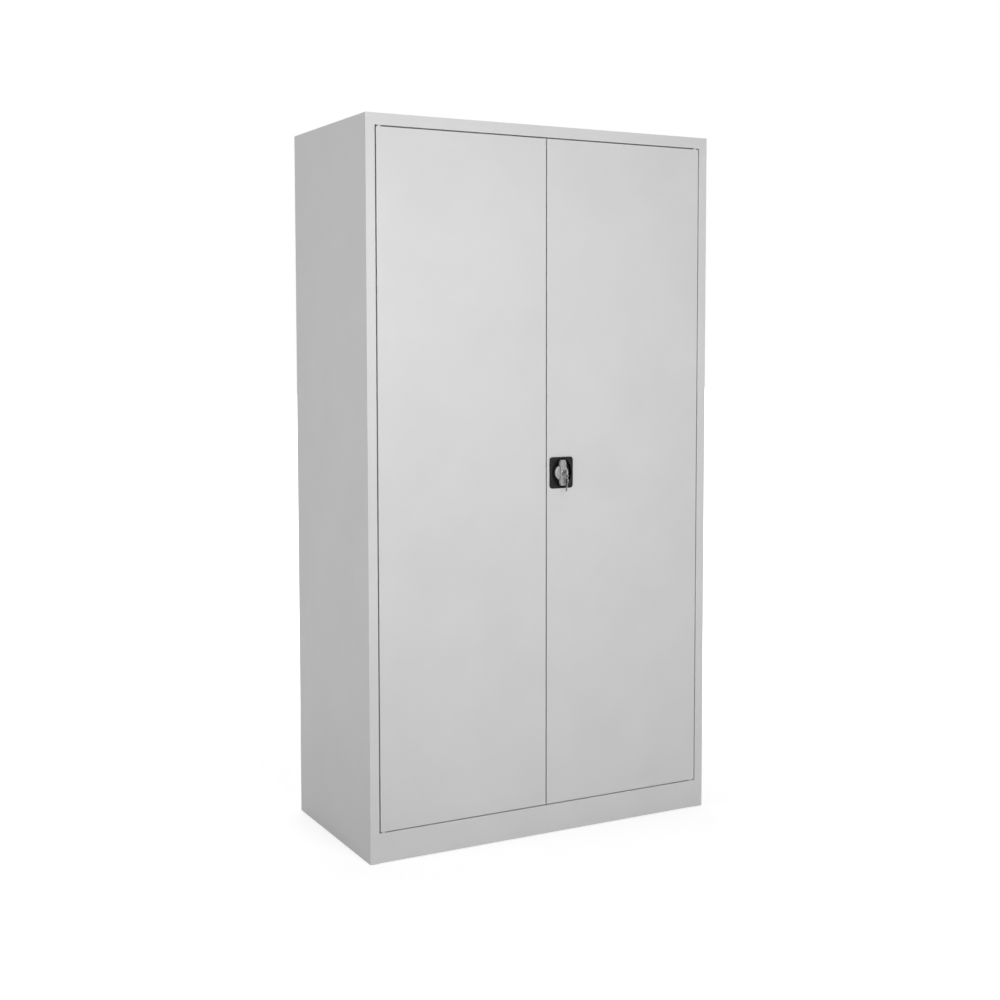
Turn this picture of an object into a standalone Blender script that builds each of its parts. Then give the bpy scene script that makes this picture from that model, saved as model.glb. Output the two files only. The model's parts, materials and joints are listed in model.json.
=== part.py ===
# Metal storage cabinet: folded sheet carcass, two pivot-hung doors, four loose shelves and a
# swivel handle that throws two rods and a side bolt through a pinion.
# Metres, +Z up, front towards -Y. Pieces are drawn with y = 0 on the front face of the doors,
# and the datum empty then centres the whole cabinet, lock furniture included, on the origin.
from math import atan2, cos, hypot, pi, radians, sin, sqrt, tan

import bmesh
import bpy
from mathutils import Matrix, Vector

# Carcass
WIDTH = 1.000
DEPTH = 0.500
HEIGHT = 1.850
SHEET = 0.0008            # carcass and door steel
FOLD_R = 0.0016           # outside radius of a fold
SEAM = 0.0003             # gap between two pieces that touch
STILE = 0.025
STILE_REVEAL = 0.040      # how far a stile folds back beside the door
STILE_RETURN = 0.014
REAR_FLANGE = 0.018
HEAD = 0.029
STOP_DROP = 0.008         # door stop below the head rail
TOP_FLANGE = 0.018
PLINTH = 0.076
PLINTH_LIFT = 0.0015      # the plinth hangs just clear of the ground between the stiles
FLOOR_FLANGE = 0.025
FLOOR_CLEAR = 0.0025      # from a lower pin's head to the floor panel's front edge

# Doors
DOOR_GAP = 0.0028
DOOR_DEPTH = 0.018
DOOR_EDGE_R = 0.0012
DOOR_SIDE_LIP = 0.010
DOOR_END_LIP = 0.030
STIFFENER_WIDTH = 0.060
STIFFENER_FLANGE = 0.014

# Pivot hinges
HINGE_INSET = 0.009       # from the door's hinge edge
HINGE_SETBACK = 0.0055    # behind the door's face
SWEEP_CLEAR = 0.0006      # between the turning door and its stops
PIN_R = 0.0025
PIN_HEAD_R = 0.0045
PIN_HEAD = 0.0025
PIN_REACH = 0.012
BUSH_WALL = 0.0014
BUSH_FLANGE = 0.0007      # how far a bush's flange reaches past its barrel
BUSH_LENGTH = 0.008
ROUND_SIDES = 20
BUFFER_INSET = 0.060      # from the door's free edge to its buffer

# Uprights, clips and shelves
UPRIGHT_WIDTH = 0.030
UPRIGHT_DEPTH = 0.010
UPRIGHT_SHEET = 0.0012
UPRIGHT_FRONT = 0.064     # from the doors' face to the front uprights
UPRIGHT_REAR = 0.040      # from the back of the cabinet to the rear uprights
UPRIGHT_FOOT = 0.004      # above the floor and below the top panel's flange
SLOT_PITCH = 0.050
SLOT_WIDTH = 0.018
SLOT_HEIGHT = 0.004
SLOT_MARGIN = 0.030
CLIP_SHEET = 0.0015
CLIP_WIDTH = 0.016
CLIP_HOOK = 0.008
CLIP_TONGUE = 0.014
CLIP_NOSE = 0.004
CLIP_FOLD_R = 0.0018
SHELF_COUNT = 4
SHELF_HEIGHT = 0.028
SHELF_LIP = 0.012
SHELF_FRONT = 0.050
SHELF_END_GAP = 0.0015
SHELF_REAR_GAP = 0.003

# Lock plate, case and handle
LOCK_INSET = 0.0418       # from the right door's free edge to the spindle
LOCK_LEVEL = 0.957
PLATE_WIDTH = 0.069
PLATE_HEIGHT = 0.0817
PLATE_PROUD = 0.005
PLATE_CORNER_R = 0.008
PLATE_BEVEL = 0.0015
DISH_WIDTH = 0.0575
DISH_HEIGHT = 0.075
DISH_DEPTH = 0.0115       # from the plate's face to the dish's floor
DISH_WALL = 0.0016
DISH_SIDES = 40
CUTOUT_CLEAR = 0.0004     # round the dish in the door
DISC_R = 0.0198
DISC_LIFT = 0.0014        # from the plate's face to the disc's face
GRIP_LENGTH = 0.0668
GRIP_WIDTH = 0.018
GRIP_END_WIDTH = 0.0125
GRIP_WAIST = 0.0146       # width between the two wide ends
GRIP_TAPER = 0.0075       # length of each chamfered end
GRIP_HEAD = 0.0145        # length of each wide end
GRIP_NECKING = 0.006      # length over which a wide end narrows to the waist
GRIP_PROUD = 0.0135
GRIP_LIFT = 0.0006        # the grip turns just clear of the plate's face
GRIP_BEVEL = 0.0012
BOSS_R = 0.011
SPINDLE = 0.008           # across the flats
CASE_WIDTH = 0.060
CASE_HEIGHT = 0.090
CASE_WALL = 0.0015

# Rack and pinion gear
TEETH = 12
MODULE = 0.002
PRESSURE_ANGLE = 25
ADDENDUM = 0.0018
DEDENDUM = 0.0022
BACKLASH = 0.0005
RACK_TEETH = 5
BAR_WIDTH = 0.008
BAR_THICK = 0.005
ROD_BACK = 0.025          # from the doors' face to the rods
BAR_SPACE = 0.0015        # between the rods' plane and the bolt's
PINION_OVERLAP = 0.0005   # the pinion is this much wider than the bars it drives
ROD_CLEAR = 0.002         # from a withdrawn rod to the lip that it locks behind
ROD_STAND = 0.0022        # from the lower rod, thrown, to the floor
RUN_CLEAR = 0.0004        # round a bar or a shaft that moves
GUIDE_WIDTH = 0.020
GUIDE_HEIGHT = 0.012
GUIDE_BACK = 0.003
BOLT_WITHDRAWN = 0.002    # from the free edge of the door to the bolt's nose
KEEPER_WIDTH = 0.008
KEEPER_HEIGHT = 0.020
KEEPER_BACK = 0.003
KEEPER_CLEAR = 0.0008
KEEPER_INSET = 0.0015     # from the left door's free edge

# Plug and keys
PLUG_R = 0.0059
PLUG_PROUD = 0.0006
PLUG_LENGTH = 0.0205
KEYWAY_WIDTH = 0.0026
KEYWAY_HEIGHT = 0.0078
KEYWAY_DEPTH = 0.0195
KEY_THICK = 0.002
BLADE_HEIGHT = 0.0070
BLADE_LENGTH = 0.0205
BLADE_INSERTED = 0.0185
BOW_R = 0.009
BOW_SIDES = 24
KEY_HOLE_R = 0.0022
KEY_HOLE_EDGE = 0.0034    # from the bow's end to the middle of its hole
RING_R = 0.0052           # to the middle of the wire
RING_WIRE_R = 0.0006
RING_STEPS = 28
WIRE_SIDES = 8

OVERRUN = 0.002           # how far a cutter passes the surface it opens

# Places that several pieces share
side_inner = WIDTH / 2 - SHEET - SEAM
back_face = DEPTH - SHEET - SEAM
rear_limit = back_face - SHEET - SEAM
opening_half = WIDTH / 2 - STILE
opening_top = HEIGHT - HEAD
floor_top = PLINTH - SHEET - SEAM
floor_front = HINGE_SETBACK + PIN_HEAD_R + FLOOR_CLEAR
stop_face = HINGE_SETBACK + hypot(HINGE_INSET, DOOR_DEPTH - HINGE_SETBACK) + SWEEP_CLEAR
door_low = PLINTH + DOOR_GAP
door_high = opening_top - DOOR_GAP
door_outer = opening_half - DOOR_GAP
door_inner = DOOR_GAP / 2
hinge_x = door_outer - HINGE_INSET
lock_x = door_inner + LOCK_INSET
upright_web = side_inner - UPRIGHT_DEPTH
upright_low = floor_top + UPRIGHT_FOOT
upright_high = HEIGHT - TOP_FLANGE - UPRIGHT_FOOT
pitch_r = MODULE * TEETH / 2
tooth_pitch = MODULE * pi
bar_root = pitch_r + DEDENDUM
bar_far = bar_root + BAR_WIDTH
bar_middle = bar_root + BAR_WIDTH / 2
bar_travel = pitch_r * pi / 2
upper_tip = opening_top - STOP_DROP - ROD_CLEAR
lower_tip = floor_top + ROD_STAND + bar_travel
stop_top = lower_tip - ROD_CLEAR
rod_rear = ROD_BACK + BAR_THICK
bolt_front = rod_rear + BAR_SPACE
bolt_rear = bolt_front + BAR_THICK
pinion_front = ROD_BACK - PINION_OVERLAP
pinion_rear = bolt_rear + PINION_OVERLAP
plate_face = -PLATE_PROUD
dish_floor = plate_face + DISH_DEPTH
dish_back = dish_floor + DISH_WALL
case_front = dish_back + SEAM
case_rear = pinion_rear + PINION_OVERLAP + CASE_WALL
bow_shoulder = -GRIP_PROUD - (BLADE_LENGTH - BLADE_INSERTED)
bow_centre = bow_shoulder - sqrt(BOW_R ** 2 - (BLADE_HEIGHT / 2) ** 2)
bow_end = bow_centre - BOW_R
key_hole = bow_end + KEY_HOLE_EDGE
ring_top = LOCK_LEVEL - KEY_HOLE_R + SEAM + RING_WIRE_R
ring_low = ring_top - 2 * RING_R
spare_hole = ring_low + RING_WIRE_R + SEAM - KEY_HOLE_R
lock_reach = BOW_R - key_hole
front_y = (lock_reach - DEPTH) / 2

# Finishes: colour, roughness, metallic
LOOKS = {
    "light_grey_powder_coat": ((0.60, 0.60, 0.60), 0.45, 0.0),
    "shelf_powder_coat": ((0.62, 0.62, 0.62), 0.50, 0.0),
    "zinc_plated_steel": ((0.62, 0.63, 0.65), 0.35, 1.0),
    "black_moulding": ((0.03, 0.03, 0.03), 0.40, 0.0),
    "grey_handle_moulding": ((0.36, 0.36, 0.37), 0.45, 0.0),
    "nickel_plated_brass": ((0.60, 0.59, 0.56), 0.30, 1.0),
    "white_nylon": ((0.80, 0.80, 0.78), 0.55, 0.0),
    "black_rubber": ((0.03, 0.03, 0.03), 0.80, 0.0),
}


def clear_scene():
    for item in list(bpy.data.objects):
        bpy.data.objects.remove(item)


def finish_material(node, look):
    colour, roughness, metallic = LOOKS[look]
    material = bpy.data.materials.new(node + "_" + look)
    material.use_nodes = True
    shader = material.node_tree.nodes["Principled BSDF"]
    shader.inputs["Base Color"].default_value = (*colour, 1.0)
    shader.inputs["Roughness"].default_value = roughness
    shader.inputs["Metallic"].default_value = metallic
    material.diffuse_color = (*colour, 1.0)
    return material


def pivot(name, place, parent=None):
    """An empty on a joint's axis. place is in cabinet coordinates."""
    empty = bpy.data.objects.new(name, None)
    empty.empty_display_size = STILE
    bpy.context.collection.objects.link(empty)
    empty["place"] = place
    empty.parent = parent
    origin = Vector(parent["place"]) if parent else Vector((0, -front_y, 0))
    empty.location = Vector(place) - origin
    return empty


def piece(name, bm, look="", carrier=None):
    """Turn a bmesh into a named object. Without a carrier it stays a cutter in the making."""
    bmesh.ops.recalc_face_normals(bm, faces=bm.faces)
    mesh = bpy.data.meshes.new(name)
    bm.to_mesh(mesh)
    bm.free()
    item = bpy.data.objects.new(name, mesh)
    bpy.context.collection.objects.link(item)
    return dress(item, look, carrier) if carrier else item


def dress(item, look, carrier, smooth=False):
    """Give a finished shape its material, and hang it on the empty that carries it."""
    item.data.materials.clear()
    item.data.materials.append(finish_material(item.name, look))
    item.data.transform(Matrix.Translation(-Vector(carrier["place"])))
    item.parent = carrier
    if smooth:
        item.data.shade_smooth()
        item.data.set_sharp_from_angle(angle=radians(35))
    return item


def combine(target, other, operation):
    """Apply one exact Boolean and drop the second shape."""
    modifier = target.modifiers.new(operation.title(), "BOOLEAN")
    modifier.operation = operation
    modifier.solver = "EXACT"
    modifier.object = other
    graph = bpy.context.evaluated_depsgraph_get()
    target.data = bpy.data.meshes.new_from_object(target.evaluated_get(graph))
    target.modifiers.clear()
    bpy.data.objects.remove(other)
    return target


def cut(target, *cutters):
    for cutter in cutters:
        combine(target, cutter, "DIFFERENCE")
    return target


def weld(target, *others):
    for other in others:
        combine(target, other, "UNION")
    return target


def block(name, x, y, z, bevel=0):
    """A box between pairs of limits along each axis, its edges bevelled on request."""
    bm = bmesh.new()
    bmesh.ops.create_cube(bm, size=1)
    size = Vector((x[1] - x[0], y[1] - y[0], z[1] - z[0]))
    middle = Vector((sum(x), sum(y), sum(z))) / 2
    bmesh.ops.transform(bm, matrix=Matrix.Translation(middle) @ Matrix.Diagonal(size.to_4d()),
                        verts=bm.verts)
    if bevel:
        bmesh.ops.bevel(bm, geom=bm.edges, offset=bevel, segments=2, profile=0.5,
                        affect="EDGES")
    return piece(name, bm)


def plane_point(axis, u, v, along):
    """A point of an outline drawn across an axis: X takes (y, z), Y takes (x, z), Z (x, y)."""
    order = {"X": (along, u, v), "Y": (u, along, v), "Z": (u, v, along)}
    return Vector(order[axis])


def prism(name, outline, axis, start, end):
    """An outline extruded along an axis."""
    bm = bmesh.new()
    foot = [bm.verts.new(plane_point(axis, u, v, start)) for u, v in outline]
    bm.faces.new(foot)
    top = bmesh.ops.extrude_face_region(bm, geom=list(bm.faces))["geom"]
    shift = plane_point(axis, 0, 0, end - start)
    bmesh.ops.translate(bm, vec=shift, verts=[v for v in top if isinstance(v, bmesh.types.BMVert)])
    return piece(name, bm)


def circle(radius, sides, centre=(0, 0), stretch=1):
    """Points round a circle, or an oval where the second axis is stretched."""
    turns = [2 * pi * (step + 0.5) / sides for step in range(sides)]
    return [(centre[0] + radius * cos(t), centre[1] + radius * stretch * sin(t)) for t in turns]


def shaft(name, radius, centre, axis, start, end, sides=ROUND_SIDES):
    return prism(name, circle(radius, sides, centre), axis, start, end)


def folded(name, path, axis, start, end, gauge=SHEET, radius=FOLD_R, steps=3):
    """Sheet folded along a path and extruded. The sheet lies to the left of the path."""
    outer, inner = [], []
    for index, point in enumerate(path):
        here = Vector(point)
        before = (here - Vector(path[index - 1])).normalized() if index else None
        after = (Vector(path[index + 1]) - here).normalized() if index + 1 < len(path) else None
        if before is None or after is None:
            way = after if before is None else before
            left = Vector((-way.y, way.x))
            outer.append(here)
            inner.append(here + left * gauge)
            continue
        bend = atan2(before.x * after.y - before.y * after.x, before.dot(after))
        turn = 1 if bend > 0 else -1
        path_r = radius if turn > 0 else radius - gauge
        other_r = radius - gauge if turn > 0 else radius
        setback = path_r * tan(abs(bend) / 2)
        left = Vector((-before.y, before.x)) * turn
        centre = here - before * setback + left * path_r
        for step in range(steps + 1):
            swing = bend * step / steps
            spoke = Vector((left.y * sin(swing) - left.x * cos(swing),
                            -left.x * sin(swing) - left.y * cos(swing)))
            outer.append(centre + spoke * path_r)
            inner.append(centre + spoke * other_r)
    bm = bmesh.new()
    rings = []
    for along in (start, end):
        rings.append([[bm.verts.new(plane_point(axis, p.x, p.y, along)) for p in line]
                      for line in (outer, inner)])
    (outer_a, inner_a), (outer_b, inner_b) = rings
    last = len(outer) - 1
    for i in range(last):
        bm.faces.new((outer_a[i], outer_a[i + 1], inner_a[i + 1], inner_a[i]))
        bm.faces.new((outer_b[i], outer_b[i + 1], inner_b[i + 1], inner_b[i]))
        bm.faces.new((outer_a[i], outer_a[i + 1], outer_b[i + 1], outer_b[i]))
        bm.faces.new((inner_a[i], inner_a[i + 1], inner_b[i + 1], inner_b[i]))
    for i in (0, last):
        bm.faces.new((outer_a[i], inner_a[i], inner_b[i], outer_b[i]))
    return piece(name, bm)


def turned(name, profile, centre, axis="Z", sides=ROUND_SIDES):
    """A closed profile of (radius, height) points spun round an axis."""
    bm = bmesh.new()
    rings = []
    for radius, height in profile:
        if radius:
            ring = [bm.verts.new(plane_point(axis, u, v, height))
                    for u, v in circle(radius, sides, centre)]
        else:
            ring = [bm.verts.new(plane_point(axis, *centre, height))]
        rings.append(ring)
    for low, high in zip(rings, rings[1:] + rings[:1]):
        for side in range(sides):
            after = (side + 1) % sides
            corners = [low[side % len(low)], low[after % len(low)],
                       high[after % len(high)], high[side % len(high)]]
            corners = list(dict.fromkeys(corners))
            if len(corners) > 2:
                bm.faces.new(corners)
    return piece(name, bm)


# Carcass

def side_panel(hand, datum):
    """Side, front stile, reveal and rear flange folded from one sheet. hand is -1 or 1."""
    edge = WIDTH / 2
    path = [(edge - REAR_FLANGE, DEPTH), (edge, DEPTH), (edge, 0), (opening_half, 0),
            (opening_half, STILE_REVEAL), (opening_half + STILE_RETURN, STILE_REVEAL)]
    path = [(hand * x, y) for x, y in path]
    name = "side_panel_" + ("left" if hand < 0 else "right")
    if hand > 0:
        path.reverse()
    item = folded(name, path, "Z", 0, HEIGHT)
    near, far = sorted((hand * (side_inner - SEAM), hand * (opening_half - OVERRUN)))
    notch = block("top_notch", (near, far), (SHEET + SEAM / 2, STILE_REVEAL + OVERRUN),
                  (HEIGHT - TOP_FLANGE - SEAM, HEIGHT + OVERRUN))
    return dress(cut(item, notch), "light_grey_powder_coat", datum)


def top_panel(datum):
    rear = rear_limit
    item = block("top_panel", (-side_inner, side_inner), (SHEET + SEAM, rear),
                 (HEIGHT - TOP_FLANGE, HEIGHT))
    inside = side_inner - SHEET
    hollow = block("hollow", (-inside, inside), (SHEET + SEAM + SHEET, rear - SHEET),
                   (HEIGHT - TOP_FLANGE - OVERRUN, HEIGHT - SHEET))
    return dress(cut(item, hollow), "light_grey_powder_coat", datum)


def head_rail(datum):
    reach = opening_half - SEAM
    path = [(0, HEIGHT), (0, opening_top), (stop_face, opening_top),
            (stop_face, opening_top - STOP_DROP)]
    item = folded("head_rail", path, "X", -reach, reach)
    holes = [shaft("pin_hole", PIN_R + SEAM, (side * hinge_x, HINGE_SETBACK), "Z",
                   opening_top - OVERRUN, opening_top + SHEET + OVERRUN) for side in (-1, 1)]
    return dress(cut(item, *holes), "light_grey_powder_coat", datum)


def plinth_front(datum):
    """Plinth, ledge and the upright lip that stops the doors, folded from one sheet."""
    reach = opening_half - SEAM
    path = [(stop_face, stop_top), (stop_face, PLINTH), (0, PLINTH), (0, PLINTH_LIFT)]
    item = folded("plinth_front", path, "X", -reach, reach)
    holes = [shaft("pin_hole", PIN_R + SEAM, (side * hinge_x, HINGE_SETBACK), "Z",
                   PLINTH - SHEET - OVERRUN, PLINTH + OVERRUN) for side in (-1, 1)]
    return dress(cut(item, *holes), "light_grey_powder_coat", datum)


def floor_outline(inset):
    """The floor seen from above, notched round the two stiles, as (x, y) points."""
    front, rear = floor_front + inset, rear_limit - inset
    shoulder = STILE_REVEAL + SEAM + inset
    narrow, wide = opening_half - SEAM - inset, side_inner - inset
    right = [(narrow, front), (narrow, shoulder), (wide, shoulder), (wide, rear)]
    return right + [(-x, y) for x, y in right[::-1]]


def floor_panel(datum):
    """A tray turned down all round, its front edge carried under the plinth's ledge."""
    low = floor_top - FLOOR_FLANGE
    item = prism("floor_panel", floor_outline(0), "Z", low, floor_top)
    hollow = prism("hollow", floor_outline(SHEET), "Z", low - OVERRUN, floor_top - SHEET)
    return dress(cut(item, hollow), "light_grey_powder_coat", datum)


def back_panel(datum):
    item = block("back_panel", (-side_inner, side_inner), (back_face - SHEET, back_face),
                 (PLINTH_LIFT, HEIGHT))
    return dress(item, "light_grey_powder_coat", datum)


# Uprights, clips and shelves

def slot_levels():
    """Lower edges of the slots, from the lowest up."""
    usable = upright_high - upright_low - 2 * SLOT_MARGIN
    count = int(usable / SLOT_PITCH) + 1
    return [upright_low + SLOT_MARGIN + SLOT_PITCH * step for step in range(count)]


def shelf_slots():
    """The slots that hold the shelves, as near as the pitch allows to even compartments."""
    spacing = (opening_top - floor_top) / (SHELF_COUNT + 1)
    wanted = [floor_top + spacing * (shelf + 1) - SHELF_HEIGHT for shelf in range(SHELF_COUNT)]
    return [min(slot_levels(), key=lambda level: abs(level - want)) for want in wanted]


def upright_places():
    """Hand, row name and front edge of each upright."""
    rear = DEPTH - UPRIGHT_REAR - UPRIGHT_WIDTH
    return [(hand, row, front) for hand in (-1, 1)
            for row, front in (("front", UPRIGHT_FRONT), ("rear", rear))]


def hand_word(hand):
    return "left" if hand < 0 else "right"


def spread(hand, near, far):
    """Limits along x on the left or right of the middle, from two distances."""
    return tuple(sorted((hand * near, hand * far)))


def slotted_upright(hand, row, front, datum):
    """A channel with its web turned to the inside, punched with clip slots."""
    name = "upright_" + row + "_" + hand_word(hand)
    rear = front + UPRIGHT_WIDTH
    middle = front + UPRIGHT_WIDTH / 2
    item = block(name, spread(hand, upright_web, side_inner - SEAM), (front, rear),
                 (upright_low, upright_high))
    inside = block("inside", spread(hand, upright_web + UPRIGHT_SHEET, side_inner + OVERRUN),
                   (front + UPRIGHT_SHEET, rear - UPRIGHT_SHEET),
                   (upright_low - OVERRUN, upright_high + OVERRUN))
    cut(item, inside)
    bm = bmesh.new()
    near, far = spread(hand, upright_web - OVERRUN, upright_web + UPRIGHT_SHEET + OVERRUN)
    for level in slot_levels():
        corners = bmesh.ops.create_cube(bm, size=1)["verts"]
        size = Vector((far - near, SLOT_WIDTH, SLOT_HEIGHT))
        centre = Vector(((near + far) / 2, middle, level + SLOT_HEIGHT / 2))
        place = Matrix.Translation(centre) @ Matrix.Diagonal(size.to_4d())
        bmesh.ops.transform(bm, matrix=place, verts=corners)
    return dress(cut(item, piece("slots", bm)), "shelf_powder_coat", datum)


def shelf_clip(hand, row, front, number, level, datum):
    """A strip hooked up behind the web, with a tongue that carries the shelf's edge."""
    middle = front + UPRIGHT_WIDTH / 2
    hook = upright_web + UPRIGHT_SHEET + SEAM + CLIP_SHEET
    tip = upright_web - CLIP_TONGUE
    low = level + SEAM
    path = [(hook, low + CLIP_HOOK), (hook, low), (tip, low), (tip, low - CLIP_NOSE)]
    path = [(hand * x, z) for x, z in path]
    if hand > 0:
        path.reverse()
    name = "shelf_clip_" + str(number) + "_" + row + "_" + hand_word(hand)
    item = folded(name, path, "Y", middle - CLIP_WIDTH / 2, middle + CLIP_WIDTH / 2,
                  gauge=CLIP_SHEET, radius=CLIP_FOLD_R, steps=2)
    return dress(item, "zinc_plated_steel", datum)


def shelf(number, level, carrier):
    """A tray turned down on four sides, with a lip folded under each edge."""
    half = upright_web - SHELF_END_GAP
    front = SHELF_FRONT
    rear = rear_limit - SHELF_REAR_GAP
    low = level + SEAM + CLIP_SHEET + SEAM
    high = low + SHELF_HEIGHT
    item = block("shelf_" + str(number), (-half, half), (front, rear), (low, high))
    hollow = block("hollow", (-half + SHEET, half - SHEET), (front + SHEET, rear - SHEET),
                   (low + SHEET, high - SHEET))
    mouth = block("mouth", (-half + SHELF_LIP, half - SHELF_LIP),
                  (front + SHELF_LIP, rear - SHELF_LIP), (low - OVERRUN, low + SHEET + OVERRUN))
    return dress(cut(item, hollow, mouth), "shelf_powder_coat", carrier)


# Doors and hinges

def door_pan(hand, carrier):
    """A pan folded back on four sides, with lips turned in behind."""
    name = "door_" + hand_word(hand)
    x = spread(hand, door_inner, door_outer)
    z = (door_low, door_high)
    item = block(name, x, (0, DOOR_DEPTH), z, bevel=DOOR_EDGE_R)
    hollow = block("hollow", (x[0] + SHEET, x[1] - SHEET), (SHEET, DOOR_DEPTH - SHEET),
                   (z[0] + SHEET, z[1] - SHEET))
    mouth = block("mouth", (x[0] + DOOR_SIDE_LIP, x[1] - DOOR_SIDE_LIP),
                  (DOOR_DEPTH - SHEET - OVERRUN, DOOR_DEPTH + OVERRUN),
                  (z[0] + DOOR_END_LIP, z[1] - DOOR_END_LIP))
    barrel = PIN_R + RUN_CLEAR + BUSH_WALL + SEAM
    place = (hand * hinge_x, HINGE_SETBACK)
    low_hole = shaft("bush_hole", barrel, place, "Z", z[0] - OVERRUN, z[0] + SHEET + OVERRUN)
    high_hole = shaft("bush_hole", barrel, place, "Z", z[1] - SHEET - OVERRUN, z[1] + OVERRUN)
    cut(item, hollow, mouth, low_hole, high_hole)
    if hand > 0:
        rim = DISH_WALL + CUTOUT_CLEAR
        half_width = DISH_WIDTH / 2 + rim
        stretch = (DISH_HEIGHT / 2 + rim) / half_width
        outline = circle(half_width, DISH_SIDES, (lock_x, LOCK_LEVEL), stretch)
        cut(item, prism("lock_cutout", outline, "Y", -OVERRUN, SHEET + OVERRUN))
    return dress(item, "light_grey_powder_coat", carrier)


def door_stiffener(hand, carrier):
    """A top-hat channel down the inside of the door."""
    middle = (door_inner + door_outer) / 2
    half = STIFFENER_WIDTH / 2
    front = SHEET + SEAM
    rear = DOOR_DEPTH - SHEET - SEAM
    path = [(middle - half - STIFFENER_FLANGE, front + SHEET), (middle - half, front + SHEET),
            (middle - half, rear), (middle + half, rear), (middle + half, front + SHEET),
            (middle + half + STIFFENER_FLANGE, front + SHEET)]
    path = [(hand * x, y) for x, y in path]
    if hand > 0:
        path.reverse()
    ends = SHEET + SEAM
    item = folded("door_stiffener_" + hand_word(hand), path, "Z", door_low + ends,
                  door_high - ends, steps=2)
    return dress(item, "light_grey_powder_coat", carrier)


def hinge_pin(hand, end, datum):
    """A headed pin through the head rail or the plinth's ledge into the door."""
    up = 1 if end == "upper" else -1
    seat = opening_top + SHEET if up > 0 else PLINTH - SHEET
    head = seat + up * SEAM
    tip = (door_high if up > 0 else door_low) - up * PIN_REACH
    profile = [(0, tip), (PIN_R, tip), (PIN_R, head), (PIN_HEAD_R, head),
               (PIN_HEAD_R, head + up * PIN_HEAD), (0, head + up * PIN_HEAD)]
    item = turned("hinge_pin_" + end + "_" + hand_word(hand), profile,
                  (hand * hinge_x, HINGE_SETBACK))
    return dress(item, "zinc_plated_steel", datum, smooth=True)


def hinge_bush(hand, end, carrier):
    """A flanged bush in the door's edge. Its flange fills the gap that carries the door."""
    up = 1 if end == "upper" else -1
    edge = door_high if up > 0 else door_low
    flange_far = edge + up * (DOOR_GAP - SEAM)
    bore = PIN_R + RUN_CLEAR
    barrel = bore + BUSH_WALL
    profile = [(bore, edge - up * BUSH_LENGTH), (barrel, edge - up * BUSH_LENGTH),
               (barrel, edge + up * SEAM), (barrel + BUSH_FLANGE, edge + up * SEAM),
               (barrel + BUSH_FLANGE, flange_far), (bore, flange_far)]
    item = turned("hinge_bush_" + end + "_" + hand_word(hand), profile,
                  (hand * hinge_x, HINGE_SETBACK))
    return dress(item, "white_nylon", carrier, smooth=True)


def door_buffer(hand, carrier):
    """A rubber button on the back of the door that meets the head rail's stop."""
    level = opening_top - (STOP_DROP + DOOR_GAP) / 2
    place = (hand * (door_inner + BUFFER_INSET), level)
    front = DOOR_DEPTH + SEAM
    rear = stop_face - SEAM
    radius = (STOP_DROP - DOOR_GAP) / 2
    profile = [(0, front), (radius, front), (radius, rear - SEAM), (radius - SEAM, rear), (0, rear)]
    item = turned("door_buffer_" + hand_word(hand), profile, place, axis="Y", sides=16)
    return dress(item, "black_rubber", carrier, smooth=True)


# Lock furniture

def plate_outline(width, height, corner):
    """A rectangle with rounded corners round the spindle's axis, as (x, z) points."""
    points = []
    for quarter in range(4):
        side_x = 1 if quarter in (0, 3) else -1
        side_z = 1 if quarter in (0, 1) else -1
        centre = (side_x * (width / 2 - corner), side_z * (height / 2 - corner))
        for step in range(5):
            angle = pi / 2 * (quarter + step / 4)
            points.append((lock_x + centre[0] + corner * cos(angle),
                           LOCK_LEVEL + centre[1] + corner * sin(angle)))
    return points


def oval(width, height):
    return circle(width / 2, DISH_SIDES, (0, 0), height / width)


def around_lock(outline):
    return [(lock_x + u, LOCK_LEVEL + v) for u, v in outline]


def stacked(name, sections):
    """A solid through outlines of equal count, each at its own distance along y."""
    bm = bmesh.new()
    rings = [[bm.verts.new((u, y, v)) for u, v in outline] for y, outline in sections]
    bm.faces.new(rings[0])
    bm.faces.new(rings[-1])
    count = len(rings[0])
    for low, high in zip(rings, rings[1:]):
        for i in range(count):
            after = (i + 1) % count
            bm.faces.new((low[i], low[after], high[after], high[i]))
    return piece(name, bm)


def lock_plate(carrier):
    """A bevelled plate with an oval dish that passes back through the door."""
    inset = 2 * PLATE_BEVEL
    full = plate_outline(PLATE_WIDTH, PLATE_HEIGHT, PLATE_CORNER_R)
    small = plate_outline(PLATE_WIDTH - inset, PLATE_HEIGHT - inset,
                          PLATE_CORNER_R - PLATE_BEVEL)
    item = stacked("lock_plate", [(-SEAM, full), (plate_face + PLATE_BEVEL, full),
                                  (plate_face, small)])
    wall = 2 * DISH_WALL
    outside = around_lock(oval(DISH_WIDTH + wall, DISH_HEIGHT + wall))
    weld(item, prism("dish", outside, "Y", plate_face + PLATE_BEVEL + SEAM, dish_back))
    mouth = around_lock(oval(DISH_WIDTH, DISH_HEIGHT))
    hollow = prism("hollow", mouth, "Y", plate_face - OVERRUN, dish_floor)
    hole = shaft("boss_hole", BOSS_R + RUN_CLEAR, (lock_x, LOCK_LEVEL), "Y",
                 dish_floor - OVERRUN, dish_back + OVERRUN, DISH_SIDES)
    return dress(cut(item, hollow, hole), "black_moulding", carrier, smooth=True)


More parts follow.
